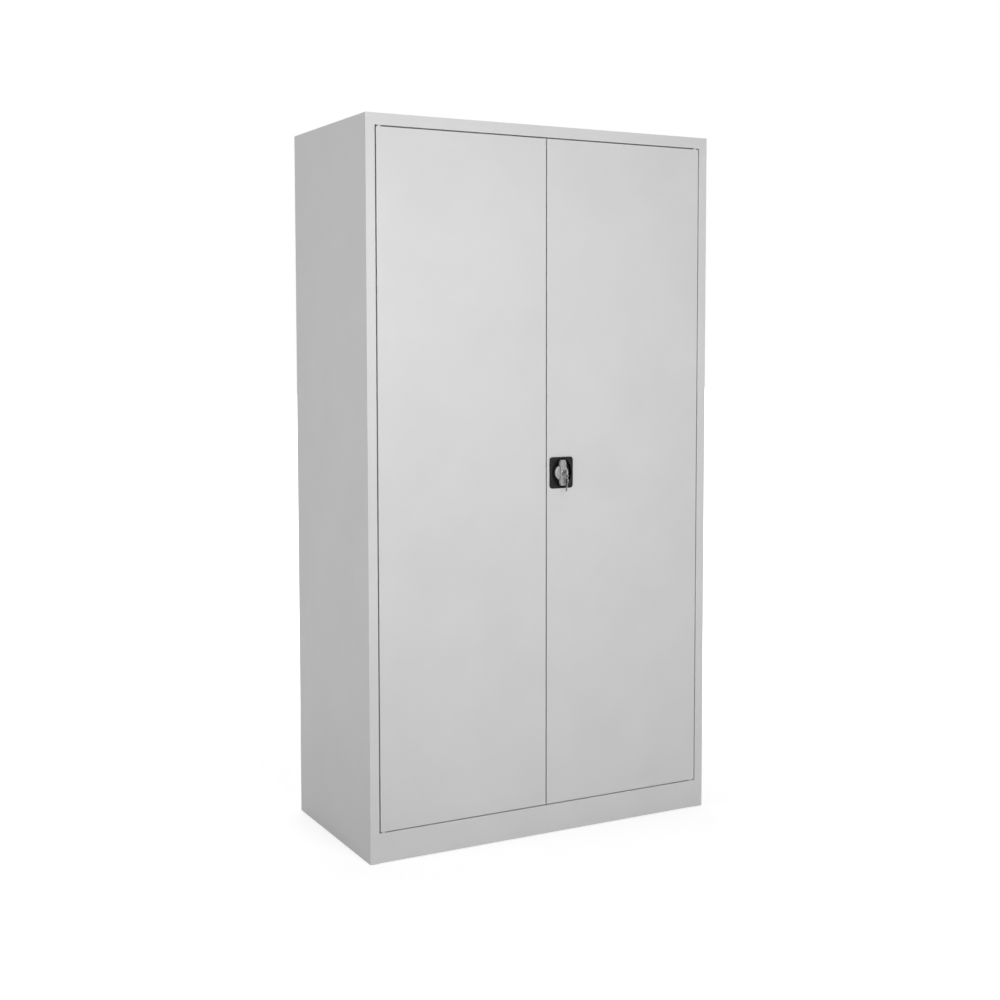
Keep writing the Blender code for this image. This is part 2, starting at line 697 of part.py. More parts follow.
def lock_case(carrier):
    """A square tube behind the plate, open above and below for the rods."""
    half = CASE_WIDTH / 2
    z = (LOCK_LEVEL - CASE_HEIGHT / 2, LOCK_LEVEL + CASE_HEIGHT / 2)
    item = block("lock_case", (lock_x - half, lock_x + half), (case_front, case_rear), z)
    inner = half - CASE_WALL
    hollow = block("hollow", (lock_x - inner, lock_x + inner),
                   (case_front + CASE_WALL, case_rear - CASE_WALL),
                   (z[0] - OVERRUN, z[1] + OVERRUN))
    centre = (lock_x, LOCK_LEVEL)
    boss_hole = shaft("boss_hole", BOSS_R + RUN_CLEAR, centre, "Y", case_front - OVERRUN,
                      case_front + CASE_WALL + OVERRUN)
    spindle_hole = shaft("spindle_hole", SPINDLE / sqrt(2) + RUN_CLEAR, centre, "Y",
                         case_rear - CASE_WALL - OVERRUN, case_rear + OVERRUN)
    bolt_high = LOCK_LEVEL - pitch_r + ADDENDUM + RUN_CLEAR
    bolt_slot = block("bolt_slot", (lock_x - half - OVERRUN, lock_x - inner + OVERRUN),
                      (bolt_front - RUN_CLEAR, bolt_rear + RUN_CLEAR),
                      (LOCK_LEVEL - bar_far - RUN_CLEAR, bolt_high))
    cut(item, hollow, boss_hole, spindle_hole, bolt_slot)
    return dress(item, "zinc_plated_steel", carrier)


def grip_outline(inset):
    """The waisted grip with chamfered ends, upright as in the closed, unlatched handle."""
    top = GRIP_LENGTH / 2 - inset
    wide = GRIP_WIDTH / 2 - inset
    neck = GRIP_LENGTH / 2 - GRIP_HEAD
    upper = [(GRIP_END_WIDTH / 2 - inset, top), (wide, top - GRIP_TAPER), (wide, neck),
             (GRIP_WAIST / 2 - inset, neck - GRIP_NECKING)]
    right = upper + [(x, -z) for x, z in upper[::-1]]
    return around_lock(right + [(-x, z) for x, z in right[::-1]])


def handle_knob(carrier):
    """Disc, grip, boss and square spindle in one piece, bored for the plug."""
    centre = (lock_x, LOCK_LEVEL)
    face = -GRIP_PROUD
    item = shaft("handle_knob", DISC_R, centre, "Y", plate_face - DISC_LIFT,
                 dish_floor - SEAM, DISH_SIDES)
    grip = stacked("grip", [(plate_face - GRIP_LIFT, grip_outline(0)),
                            (face + GRIP_BEVEL, grip_outline(0)),
                            (face, grip_outline(GRIP_BEVEL))])
    boss = shaft("boss", BOSS_R, centre, "Y", dish_floor - OVERRUN,
                 case_front + CASE_WALL + SEAM, DISH_SIDES)
    half = SPINDLE / 2
    spindle = block("spindle", (lock_x - half, lock_x + half), (case_front, case_rear),
                    (LOCK_LEVEL - half, LOCK_LEVEL + half))
    weld(item, grip, boss, spindle)
    bore = shaft("plug_bore", PLUG_R + SEAM, centre, "Y", face - OVERRUN,
                 face - PLUG_PROUD + PLUG_LENGTH + SEAM, ROUND_SIDES)
    return dress(cut(item, bore), "grey_handle_moulding", carrier, smooth=True)


def lock_plug(carrier):
    front = -GRIP_PROUD - PLUG_PROUD
    item = shaft("lock_plug", PLUG_R, (lock_x, LOCK_LEVEL), "Y", front, front + PLUG_LENGTH)
    keyway = block("keyway", (lock_x - KEYWAY_WIDTH / 2, lock_x + KEYWAY_WIDTH / 2),
                   (front - OVERRUN, front + KEYWAY_DEPTH),
                   (LOCK_LEVEL - KEYWAY_HEIGHT / 2, LOCK_LEVEL + KEYWAY_HEIGHT / 2))
    return dress(cut(item, keyway), "nickel_plated_brass", carrier, smooth=True)


def key_outline():
    """Bow and cut blade as (distance from the bow's end, height) points."""
    half = BLADE_HEIGHT / 2
    join = atan2(half, sqrt(BOW_R ** 2 - half ** 2))
    points = []
    for step in range(BOW_SIDES + 1):
        angle = join + (2 * pi - 2 * join) * step / BOW_SIDES
        points.append((BOW_R + BOW_R * cos(angle), BOW_R * sin(angle)))
    neck = BOW_R + sqrt(BOW_R ** 2 - half ** 2)
    tip = neck + BLADE_LENGTH
    bit = BLADE_LENGTH / 12
    deep_shares = (0.0, 0.55, 0.2, 0.7, 0.3, 0.0)
    points.append((tip - half, -half))
    points.append((tip, -half / 3))
    points.append((tip, half / 3))
    points.append((tip - bit, half))
    for index, share in enumerate(deep_shares):
        along = tip - bit * (index + 2)
        points.append((along, half - half * share))
    return points


def key_blank(name, place, turn):
    """A flat key with its bow's end at place, pointing back, or down where turned."""
    outline = key_outline()
    item = prism(name, outline, "X", -KEY_THICK / 2, KEY_THICK / 2)
    hole = shaft("ring_hole", KEY_HOLE_R, (KEY_HOLE_EDGE, 0), "X", -KEY_THICK, KEY_THICK, 16)
    cut(item, hole)
    item.data.transform(Matrix.Translation(place) @ Matrix.Rotation(turn, 4, "X"))
    return item


def fitted_key(carrier):
    item = key_blank("key", (lock_x, bow_end, LOCK_LEVEL), 0)
    return dress(item, "nickel_plated_brass", carrier)


def spare_key(carrier):
    item = key_blank("spare_key", (lock_x, key_hole, spare_hole + KEY_HOLE_EDGE), -pi / 2)
    return dress(item, "nickel_plated_brass", carrier)


def key_ring(carrier):
    """A closed wire ring across the bow, hanging in its hole."""
    bm = bmesh.new()
    rings = []
    for step in range(RING_STEPS):
        angle = 2 * pi * step / RING_STEPS
        ring = []
        for side in range(WIRE_SIDES):
            turn = 2 * pi * side / WIRE_SIDES
            reach = RING_R + RING_WIRE_R * cos(turn)
            ring.append(bm.verts.new((lock_x + reach * sin(angle), key_hole + RING_WIRE_R * sin(turn),
                                      ring_top - RING_R + reach * cos(angle))))
        rings.append(ring)
    for low, high in zip(rings, rings[1:] + rings[:1]):
        for side in range(WIRE_SIDES):
            after = (side + 1) % WIRE_SIDES
            bm.faces.new((low[side], low[after], high[after], high[side]))
    return dress(piece("key_ring", bm), "zinc_plated_steel", carrier, smooth=True)


# Rack and pinion gear

def involute(radius, base):
    """Polar angle of an involute at a radius."""
    slope = sqrt(max((radius / base) ** 2 - 1, 0))
    return slope - atan2(slope, 1)


def drive_pinion(carrier):
    """A twelve-tooth involute pinion on the spindle's square."""
    base = pitch_r * cos(radians(PRESSURE_ANGLE))
    tip = pitch_r + ADDENDUM
    root = pitch_r - DEDENDUM
    half_thick = (tooth_pitch / 2 - BACKLASH) / 2 / pitch_r
    start = half_thick + involute(pitch_r, base)
    outline = []
    for tooth in range(TEETH):
        middle = 2 * pi * tooth / TEETH
        radii = [base, (base + pitch_r) / 2, pitch_r, tip]
        flank = [(root, start)] + [(r, start - involute(r, base)) for r in radii]
        outline += [(r, middle - a) for r, a in flank] + [(r, middle + a) for r, a in flank[::-1]]
    points = [(lock_x + r * cos(a), LOCK_LEVEL + r * sin(a)) for r, a in outline]
    item = prism("drive_pinion", points, "Y", pinion_front, pinion_rear)
    half = SPINDLE / 2 + SEAM
    bore = block("bore", (lock_x - half, lock_x + half),
                 (pinion_front - OVERRUN, pinion_rear + OVERRUN),
                 (LOCK_LEVEL - half, LOCK_LEVEL + half))
    return dress(cut(item, bore), "zinc_plated_steel", carrier)


def rack_bar(back, front, teeth_from):
    """Outline of a bar as (along, away from the pinion) points, with its rack's first space."""
    flank = tan(radians(PRESSURE_ANGLE))
    half_pitch_thick = (tooth_pitch / 2 - BACKLASH) / 2
    tip_half = half_pitch_thick - ADDENDUM * flank
    root_half = half_pitch_thick + DEDENDUM * flank
    points = [(back, bar_far), (back, bar_root)]
    for tooth in range(RACK_TEETH):
        middle = teeth_from + tooth_pitch * (tooth + 0.5)
        points += [(middle - root_half, bar_root), (middle - tip_half, pitch_r - ADDENDUM),
                   (middle + tip_half, pitch_r - ADDENDUM), (middle + root_half, bar_root)]
    return points + [(front, bar_root), (front, bar_far)]


def rod(name, side, tip, carrier):
    """A rod with its rack beside the pinion. side is the side of the pinion it runs on."""
    up = 1 if tip > LOCK_LEVEL else -1
    zone = tooth_pitch * (RACK_TEETH - 1)
    outline = rack_bar(-zone - tooth_pitch / 2, up * (tip - LOCK_LEVEL), -zone)
    points = [(lock_x + side * away, LOCK_LEVEL + up * along) for along, away in outline]
    return dress(prism(name, points, "Y", ROD_BACK, rod_rear), "zinc_plated_steel", carrier)


def side_bolt(carrier):
    """The bar under the pinion that holds the left door."""
    zone = tooth_pitch * (RACK_TEETH - 1)
    nose = lock_x - door_inner - BOLT_WITHDRAWN
    outline = rack_bar(-zone - tooth_pitch / 2, nose, -zone)
    points = [(lock_x - along, LOCK_LEVEL - away) for along, away in outline]
    item = prism("side_bolt", points, "Y", bolt_front, bolt_rear)
    return dress(item, "zinc_plated_steel", carrier)


def rod_guide(name, rod_x, low, carrier):
    """A block on the door's end lip with a slot that the rod slides in."""
    half = GUIDE_WIDTH / 2
    item = block(name, (rod_x - half, rod_x + half), (DOOR_DEPTH + SEAM, rod_rear + GUIDE_BACK),
                 (low, low + GUIDE_HEIGHT))
    slot_half = BAR_WIDTH / 2 + RUN_CLEAR
    slot = block("slot", (rod_x - slot_half, rod_x + slot_half),
                 (ROD_BACK - RUN_CLEAR, rod_rear + RUN_CLEAR),
                 (low - OVERRUN, low + GUIDE_HEIGHT + OVERRUN))
    return dress(cut(item, slot), "black_moulding", carrier)


def bolt_keeper(carrier):
    """A slotted block on the left door's free edge."""
    near = door_inner + KEEPER_INSET
    middle = LOCK_LEVEL - bar_middle
    half = KEEPER_HEIGHT / 2
    item = block("bolt_keeper", (-near - KEEPER_WIDTH, -near),
                 (DOOR_DEPTH + SEAM, bolt_rear + KEEPER_BACK), (middle - half, middle + half))
    slot_half = BAR_WIDTH / 2 + KEEPER_CLEAR
    slot = block("slot", (-near - KEEPER_WIDTH - OVERRUN, -near + OVERRUN),
                 (bolt_front - KEEPER_CLEAR, bolt_rear + KEEPER_CLEAR),
                 (middle - slot_half, middle + slot_half))
    return dress(cut(item, slot), "zinc_plated_steel", carrier)


def build_carcass(datum):
    for hand in (-1, 1):
        side_panel(hand, datum)
    top_panel(datum)
    head_rail(datum)
    plinth_front(datum)
    floor_panel(datum)
    back_panel(datum)
    for hand, row, front in upright_places():
        slotted_upright(hand, row, front, datum)
        for number, level in enumerate(shelf_slots(), 1):
            shelf_clip(hand, row, front, number, level, datum)
    for number, level in enumerate(shelf_slots(), 1):
        lift = pivot("shelf_" + str(number) + "_lift", (0, DEPTH / 2, level), datum)
        shelf(number, level, lift)


def build_doors(datum):
    hinges = {}
    for hand in (-1, 1):
        hinge = pivot("hinge_axis_" + hand_word(hand), (hand * hinge_x, HINGE_SETBACK, door_low),
                      datum)
        hinges[hand] = hinge
        door_pan(hand, hinge)
        door_stiffener(hand, hinge)
        door_buffer(hand, hinge)
        for end in ("upper", "lower"):
            hinge_pin(hand, end, datum)
            hinge_bush(hand, end, hinge)
    bolt_keeper(hinges[-1])
    return hinges[1]


def build_lock(hinge):
    lock_plate(hinge)
    lock_case(hinge)
    spindle = pivot("spindle_axis", (lock_x, 0, LOCK_LEVEL), hinge)
    handle_knob(spindle)
    drive_pinion(spindle)
    plug = pivot("plug_axis", (lock_x, -GRIP_PROUD, LOCK_LEVEL), spindle)
    lock_plug(plug)
    draw = pivot("key_draw", (lock_x, bow_shoulder, LOCK_LEVEL), plug)
    fitted_key(draw)
    ring = pivot("ring_axis", (lock_x, key_hole, ring_top), draw)
    key_ring(ring)
    spare_key(pivot("spare_axis", (lock_x, key_hole, ring_low), ring))
    upper_x, lower_x = lock_x - bar_middle, lock_x + bar_middle
    rod("rod_upper", -1, upper_tip, pivot("rod_upper_slide", (upper_x, ROD_BACK, upper_tip), hinge))
    rod("rod_lower", 1, lower_tip, pivot("rod_lower_slide", (lower_x, ROD_BACK, lower_tip), hinge))
    side_bolt(pivot("side_bolt_slide", (lock_x, bolt_front, LOCK_LEVEL - bar_middle), hinge))
    rod_guide("rod_guide_upper", upper_x, upper_tip - GUIDE_HEIGHT, hinge)
    rod_guide("rod_guide_lower", lower_x, lower_tip, hinge)


def build():
    clear_scene()
    datum = pivot("cabinet_datum", (0, 0, 0))
    build_carcass(datum)
    build_lock(build_doors(datum))


build()
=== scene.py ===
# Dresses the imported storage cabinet: finer copies of its folded sheets, the lock furniture
# modelled again in full, its fasteners and weld marks, the finishes, and a plain pale studio.
import json
from math import pi, radians

import bpy
from mathutils import Matrix, Vector


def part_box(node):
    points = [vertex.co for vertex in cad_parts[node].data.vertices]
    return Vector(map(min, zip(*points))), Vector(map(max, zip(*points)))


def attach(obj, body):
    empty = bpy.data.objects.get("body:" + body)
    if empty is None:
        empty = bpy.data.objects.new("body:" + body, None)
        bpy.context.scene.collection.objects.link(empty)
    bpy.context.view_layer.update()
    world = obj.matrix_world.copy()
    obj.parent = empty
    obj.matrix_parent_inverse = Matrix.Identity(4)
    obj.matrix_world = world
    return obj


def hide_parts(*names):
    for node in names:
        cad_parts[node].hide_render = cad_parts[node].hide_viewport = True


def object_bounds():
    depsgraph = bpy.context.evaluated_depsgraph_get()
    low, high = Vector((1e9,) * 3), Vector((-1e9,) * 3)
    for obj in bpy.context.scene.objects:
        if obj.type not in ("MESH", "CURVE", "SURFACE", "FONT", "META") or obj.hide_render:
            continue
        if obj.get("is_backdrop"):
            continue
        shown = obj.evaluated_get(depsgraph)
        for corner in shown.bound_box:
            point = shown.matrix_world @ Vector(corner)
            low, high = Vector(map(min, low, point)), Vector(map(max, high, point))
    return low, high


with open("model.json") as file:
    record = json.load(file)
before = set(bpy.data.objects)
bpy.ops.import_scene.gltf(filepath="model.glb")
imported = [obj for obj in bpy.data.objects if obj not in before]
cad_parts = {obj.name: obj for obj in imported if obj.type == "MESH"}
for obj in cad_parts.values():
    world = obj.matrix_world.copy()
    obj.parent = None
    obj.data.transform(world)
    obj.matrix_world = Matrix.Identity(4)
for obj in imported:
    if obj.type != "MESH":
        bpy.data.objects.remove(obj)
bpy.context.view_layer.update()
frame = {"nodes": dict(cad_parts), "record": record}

mm = 0.001
overrun = 4          # millimetres by which a cutter runs past what it cuts
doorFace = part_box("door_left")[0].y          # the doors' front face, which everything is set from
spindle = next(Vector(joint["pos_m"]) for joint in frame["record"]["behaviour"]["joints"]
               if joint["name"] == "handle_turn")
lockX, lockZ = spindle.x, spindle.z
bodyOf = {node: body for body, nodes in frame["record"]["behaviour"]["bodies"].items()
          for node in nodes}


# Working habits: one piece selected at a time, modifiers applied, places kept in the mesh

def only(piece):
    if bpy.context.object and bpy.context.object.mode != "OBJECT":
        bpy.ops.object.mode_set(mode="OBJECT")
    bpy.ops.object.select_all(action="DESELECT")
    piece.select_set(True)
    bpy.context.view_layer.objects.active = piece
    return piece


def named(name):
    piece = only(bpy.context.object)
    piece.name = piece.data.name = name
    return piece


def settle(piece):          # the place goes into the mesh, and the object stands at the origin
    only(piece)
    bpy.ops.object.transform_apply(location=True, rotation=True, scale=True)
    return piece


def addModifier(piece, kind, **settings):          # added, set and applied at once
    only(piece)
    modifier = piece.modifiers.new(kind.title(), kind)
    for name, value in settings.items():
        setattr(modifier, name, value)
    bpy.ops.object.modifier_apply(modifier=modifier.name)
    return piece


def editing(piece, what="VERT"):          # edit mode with nothing selected
    only(piece)
    bpy.ops.object.mode_set(mode="EDIT")
    bpy.ops.mesh.select_mode(type=what)
    bpy.ops.mesh.select_all(action="DESELECT")
    bpy.ops.object.mode_set(mode="OBJECT")


def pickEdges(piece, test):          # selects the edges whose two ends pass
    editing(piece, "EDGE")
    points = piece.data.vertices
    for edge in piece.data.edges:
        a, b = (points[i].co for i in edge.vertices)
        edge.select = test(a, b)
    bpy.ops.object.mode_set(mode="EDIT")


def pickFaces(piece, test):          # selects the faces whose middle and normal pass
    editing(piece, "FACE")
    for face in piece.data.polygons:
        face.select = test(face.center, face.normal)
    bpy.ops.object.mode_set(mode="EDIT")


def bevelEdges(piece, test, width, segments=3, profile=0.5):
    pickEdges(piece, test)
    bpy.ops.mesh.bevel(offset=width, segments=segments, profile=profile, affect="EDGES")
    bpy.ops.object.mode_set(mode="OBJECT")


def cutAway(piece, *cutters):          # exact Booleans, and the cutters are thrown away
    for cutter in cutters:
        addModifier(piece, "BOOLEAN", operation="DIFFERENCE", solver="EXACT", object=cutter)
        bpy.data.objects.remove(cutter)
    return piece


def weldOn(piece, *others):
    for other in others:
        addModifier(piece, "BOOLEAN", operation="UNION", solver="EXACT", object=other)
        bpy.data.objects.remove(other)
    return piece


def dissolveFlat(piece):          # edges that lie within a flat face go
    only(piece)
    bpy.ops.object.mode_set(mode="EDIT")
    bpy.ops.mesh.select_all(action="SELECT")
    bpy.ops.mesh.dissolve_limited(angle_limit=radians(0.5))
    bpy.ops.object.mode_set(mode="OBJECT")


def tidyFaces(piece, angle=35):          # doubles merged, normals out, smooth up to an angle
    only(piece)
    bpy.ops.object.mode_set(mode="EDIT")
    bpy.ops.mesh.select_all(action="SELECT")
    bpy.ops.mesh.remove_doubles(threshold=1e-6)
    bpy.ops.mesh.normals_make_consistent(inside=False)
    bpy.ops.object.mode_set(mode="OBJECT")
    bpy.ops.object.shade_smooth_by_angle(angle=radians(angle))
    return piece


def addCube(x, y, z):          # a cube between pairs of limits
    size = (x[1] - x[0], y[1] - y[0], z[1] - z[0])
    bpy.ops.mesh.primitive_cube_add(size=1, location=(sum(x) / 2, sum(y) / 2, sum(z) / 2),
                                    scale=size)
    return settle(bpy.context.object)


def addRound(radius, y, x=None, z=None, sides=64, stretch=1.0):          # a cylinder along Y
    x = lockX if x is None else x
    z = lockZ if z is None else z
    bpy.ops.mesh.primitive_cylinder_add(vertices=sides, radius=radius, depth=y[1] - y[0],
                                        location=(x, sum(y) / 2, z), rotation=(pi / 2, 0, 0))
    piece = settle(bpy.context.object)
    for point in piece.data.vertices:
        point.co.z = z + (point.co.z - z) * stretch
    return piece


def finishPiece(piece, material, body, slotName, *nodes):
    piece.data.materials.clear()
    piece.data.materials.append(material)
    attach(piece, body)
    if nodes:
        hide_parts(*nodes)
    return piece


# Materials

def hexColour(text):          # sRGB hex to the linear values that a shader takes
    parts = [int(text[i:i + 2], 16) / 255 for i in (1, 3, 5)]
    return (*[c / 12.92 if c <= 0.04045 else ((c + 0.055) / 1.055) ** 2.4 for c in parts], 1.0)


def addNode(tree, kind, inputs=None, **settings):          # a node, its settings, values and links
    node = tree.nodes.new(kind)
    for name, value in settings.items():
        setattr(node, name, value)
    for socket, value in (inputs or {}).items():
        if isinstance(value, bpy.types.NodeSocket):
            tree.links.new(value, node.inputs[socket])
        else:
            node.inputs[socket].default_value = value
    return node


def newMaterial(name, **values):          # its shader's plain values, underscores for spaces
    material = bpy.data.materials.new(name)
    material.use_nodes = True
    shader = material.node_tree.nodes["Principled BSDF"]
    for socket, value in values.items():
        shader.inputs[socket.replace("_", " ")].default_value = value
    return material, material.node_tree, shader


def noise(tree, place, size, detail):          # cloudy patches of about one size
    return addNode(tree, "ShaderNodeTexNoise", {"Vector": place, "Detail": detail,
                                                "Scale": 1 / size}).outputs["Fac"]


def drawnOut(tree, place, width, length, turn=0.0):          # places for fine lines along Z
    return addNode(tree, "ShaderNodeMapping", {
        "Vector": place, "Rotation": (turn, 0, 0),
        "Scale": (1 / width, 1 / width, 1 / length)}).outputs["Vector"]


def tinted(tree, value, dark, light, ends=(0.3, 0.7)):          # from one hex colour to another
    tint = addNode(tree, "ShaderNodeValToRGB", {"Fac": value})
    for element, position, colour in zip(tint.color_ramp.elements, ends, (dark, light)):
        element.position, element.color = position, hexColour(colour)
    return tint.outputs["Color"]


def spread(tree, value, middle, less, more):          # a number that varies round its middle
    return addNode(tree, "ShaderNodeMapRange", {"Value": value, "To Min": middle - less,
                                                "To Max": middle + more}).outputs["Result"]


def raised(tree, value, height, under=None):          # relief of a real height, on another or alone
    inputs = {"Height": value, "Strength": 1.0, "Distance": height}
    if under is not None:
        inputs["Normal"] = under
    return addNode(tree, "ShaderNodeBump", inputs).outputs["Normal"]


def surface(tree, shader, colour, roughness, normal):          # the links every finish ends with
    tree.links.new(colour, shader.inputs["Base Color"])
    tree.links.new(roughness, shader.inputs["Roughness"])
    tree.links.new(normal, shader.inputs["Normal"])


# Polyester powder coat, sprayed and stoved: a satin film whose skin is very slightly rippled,
# on sheet that is never quite flat.
powderCoat = {"grain": 3.2 * mm, "grainHeight": 0.012 * mm, "ripple": 14 * mm,
              "rippleHeight": 0.020 * mm, "sheetWave": 310 * mm, "waveHeight": 0.35 * mm,
              "mottle": 160 * mm}


def powderCoatMaterial(name, dark, light, roughness):
    material, tree, shader = newMaterial(name, Metallic=0.0, IOR=1.5)
    place = addNode(tree, "ShaderNodeTexCoord").outputs["Object"]
    mottle = noise(tree, place, powderCoat["mottle"], 3.0)
    bent = raised(tree, noise(tree, place, powderCoat["sheetWave"], 0.0),
                  powderCoat["waveHeight"])
    rippled = raised(tree, noise(tree, place, powderCoat["ripple"], 1.0),
                     powderCoat["rippleHeight"], bent)
    skin = raised(tree, noise(tree, place, powderCoat["grain"], 2.0),
                  powderCoat["grainHeight"], rippled)
    surface(tree, shader, tinted(tree, mottle, dark, light),
            spread(tree, mottle, roughness, 0.03, 0.03), skin)
    return material


# Bright zinc plate over rolled steel: cool grey metal with cloudy passivation and rolling lines.
zincPlate = {"cloud": 9 * mm, "lines": 0.6 * mm, "lineLength": 30 * mm, "lineHeight": 0.006 * mm}


def zincMaterial(name, dark, light, roughness):
    material, tree, shader = newMaterial(name, Metallic=1.0)
    place = addNode(tree, "ShaderNodeTexCoord").outputs["Object"]
    cloud = noise(tree, place, zincPlate["cloud"], 4.0)
    lines = noise(tree, drawnOut(tree, place, zincPlate["lines"], zincPlate["lineLength"]),
                  1.0, 2.0)
    surface(tree, shader, tinted(tree, cloud, dark, light, (0.35, 0.65)),
            spread(tree, cloud, roughness, 0.08, 0.10),
            raised(tree, lines, zincPlate["lineHeight"]))
    return material


# Moulded plastic and rubber from a spark-eroded tool: an even fine stipple that breaks up the
# gloss. A shine under 0.5 is a duller stipple.
mouldedFlow = 18 * mm


def mouldedMaterial(name, dark, light, roughness, stipple, height, ior=1.5, shine=0.5):
    material, tree, shader = newMaterial(name, Metallic=0.0, IOR=ior, Specular_IOR_Level=shine)
    place = addNode(tree, "ShaderNodeTexCoord").outputs["Object"]
    cells = addNode(tree, "ShaderNodeTexVoronoi", {"Vector": place, "Scale": 1 / stipple})
    flow = noise(tree, place, mouldedFlow, 2.0)
    surface(tree, shader, tinted(tree, flow, dark, light),
            spread(tree, flow, roughness, 0.05, 0.05),
            raised(tree, cells.outputs["Distance"], height))
    return material


# Nickel plate on brass keys and cylinder: neutral grey, bright, with hairline wear from handling.
nickelPlate = {"hair": 0.35 * mm, "hairLength": 9 * mm, "hairHeight": 0.004 * mm,
               "hairTurn": radians(35), "smear": 5 * mm}


def nickelMaterial(name, dark, light, roughness):
    material, tree, shader = newMaterial(name, Metallic=1.0)
    place = addNode(tree, "ShaderNodeTexCoord").outputs["Object"]
    smear = noise(tree, place, nickelPlate["smear"], 3.0)
    hairs = noise(tree, drawnOut(tree, place, nickelPlate["hair"], nickelPlate["hairLength"],
                                 nickelPlate["hairTurn"]), 1.0, 1.0)
    surface(tree, shader, tinted(tree, smear, dark, light),
            spread(tree, smear, roughness, 0.06, 0.12),
            raised(tree, hairs, nickelPlate["hairHeight"]))
    return material


lightGreyPowderCoat = powderCoatMaterial("lightGreyPowderCoat", "#d1d1d1", "#d5d5d5", 0.40)
insidePowderCoat = powderCoatMaterial("insidePowderCoat", "#cfcfcf", "#d4d4d4", 0.46)
brightZinc = zincMaterial("brightZincPlate", "#b3b7bb", "#cfd2d4", 0.34)
blackAbs = mouldedMaterial("blackAbs", "#0f0f10", "#161617", 0.42, 0.5 * mm, 0.012 * mm,
                           shine=0.24)
greyAbs = mouldedMaterial("greyAbs", "#9b9b9b", "#a3a3a3", 0.40, 0.6 * mm, 0.008 * mm)
nickel = nickelMaterial("nickelPlate", "#888887", "#b0b0ae", 0.23)
nylon = mouldedMaterial("naturalNylon", "#d9d8d0", "#e2e1da", 0.50, 0.8 * mm, 0.006 * mm, 1.53)
rubber = mouldedMaterial("blackRubber", "#18181a", "#232325", 0.78, 0.7 * mm, 0.02 * mm, 1.52)
slotLooks = {"powder_coat": lightGreyPowderCoat, "shelf_coat": insidePowderCoat,
             "zinc_plate": brightZinc, "black_moulding": blackAbs, "handle_moulding": greyAbs,
             "nickel_plate": nickel, "white_nylon": nylon, "black_rubber": rubber}
slotOf = {row["node"]: row["material_slot"] for row in frame["record"]["subparts"]}
for node, item in frame["nodes"].items():
    item.data.materials.clear()
    item.data.materials.append(slotLooks[slotOf[node]])
print("materials made:", len(slotLooks))


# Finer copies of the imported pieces: merged, with every sheared, cut or moulded edge taken off

edgeWork = {"side_panel": (0.22, 2), "top_panel": (0.22, 2), "head_rail": (0.22, 2),
            "plinth_front": (0.22, 2), "floor_panel": (0.22, 2), "back_panel": (0.22, 2),
            "door_left": (0.22, 2), "door_right": (0.22, 2), "door_stiffener": (0.22, 2),
            "upright": (0.25, 2), "shelf_clip": (0.25, 2), "shelf": (0.22, 2),
            "lock_case": (0.3, 2), "drive_pinion": (0.25, 2), "rod_guide": (0.7, 3),
            "rod": (0.4, 2), "side_bolt": (0.4, 2), "bolt_keeper": (0.5, 3),
            "hinge_pin": (0.35, 3), "hinge_bush": (0.2, 2), "door_buffer": (0.5, 3),
            "key": (0.25, 2), "spare_key": (0.25, 2)}
ownMaking = ["lock_plate", "handle_knob", "lock_plug", "key", "spare_key", "key_ring"]
smoothAngle = 40


def finerCopy(node):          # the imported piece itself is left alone
    piece = frame["nodes"][node].copy()
    piece.data = piece.data.copy()
    bpy.context.collection.objects.link(piece)
    piece.parent = None
    piece.matrix_world = Matrix.Identity(4)
    only(piece)
    piece.name = piece.data.name = node + "Finished"
    width, segments = next(edgeWork[word] for word in edgeWork if node.startswith(word))
    bpy.ops.object.mode_set(mode="EDIT")
    bpy.ops.mesh.select_all(action="SELECT")
    bpy.ops.mesh.remove_doubles(threshold=1e-5)
    bpy.ops.object.mode_set(mode="OBJECT")
    dissolveFlat(piece)
    return addModifier(piece, "BEVEL", width=width * mm, segments=segments,
                       limit_method="ANGLE", angle_limit=radians(smoothAngle))


def smoothed(piece):          # flat faces stay flat beside their rounded edges
    only(piece)
    bpy.ops.object.shade_smooth_by_angle(angle=radians(smoothAngle))
    return addModifier(piece, "WEIGHTED_NORMAL", keep_sharp=True, weight=100)


def onNode(piece, *nodes):          # finish and body as the imported node has them, the finish found from its slot
    slotName = slotOf[nodes[0]]
    return finishPiece(piece, slotLooks[slotName], bodyOf[nodes[0]], slotName, *nodes)


for node in frame["nodes"]:
    if node not in ownMaking:
        onNode(smoothed(finerCopy(node)), node)
print("finer copies:", len(frame["nodes"]) - len(ownMaking))


# Frame corners: the head rail and the plinth are welded to the stiles and ground flush

cornerWeld = {"from": 474.2, "to": 477.2, "proud": 0.03, "depth": 1.5, "foldRadius": 1.7,
              "stopLip": 8, "plinthTop": 76}
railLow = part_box("head_rail")[0].z + cornerWeld["stopLip"] * mm
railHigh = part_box("head_rail")[1].z
plinthLow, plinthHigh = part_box("plinth_front")[0].z, cornerWeld["plinthTop"] * mm


def addCornerWeld(name, side, low, high, foldAt):
    near, far = sorted((side * cornerWeld["from"] * mm, side * cornerWeld["to"] * mm))
    piece = addCube((near, far), (doorFace - cornerWeld["proud"] * mm,
                                  doorFace + cornerWeld["depth"] * mm), (low, high))
    front = doorFace - cornerWeld["proud"] * mm
    bevelEdges(piece, lambda a, b: abs(a.z - foldAt) < 1e-5 and abs(b.z - foldAt) < 1e-5
               and abs(a.y - front) < 1e-5 and abs(b.y - front) < 1e-5,
               cornerWeld["foldRadius"] * mm, 4)
    piece.name = piece.data.name = name
    return finishPiece(tidyFaces(piece), lightGreyPowderCoat, "carcass", "powder_coat")


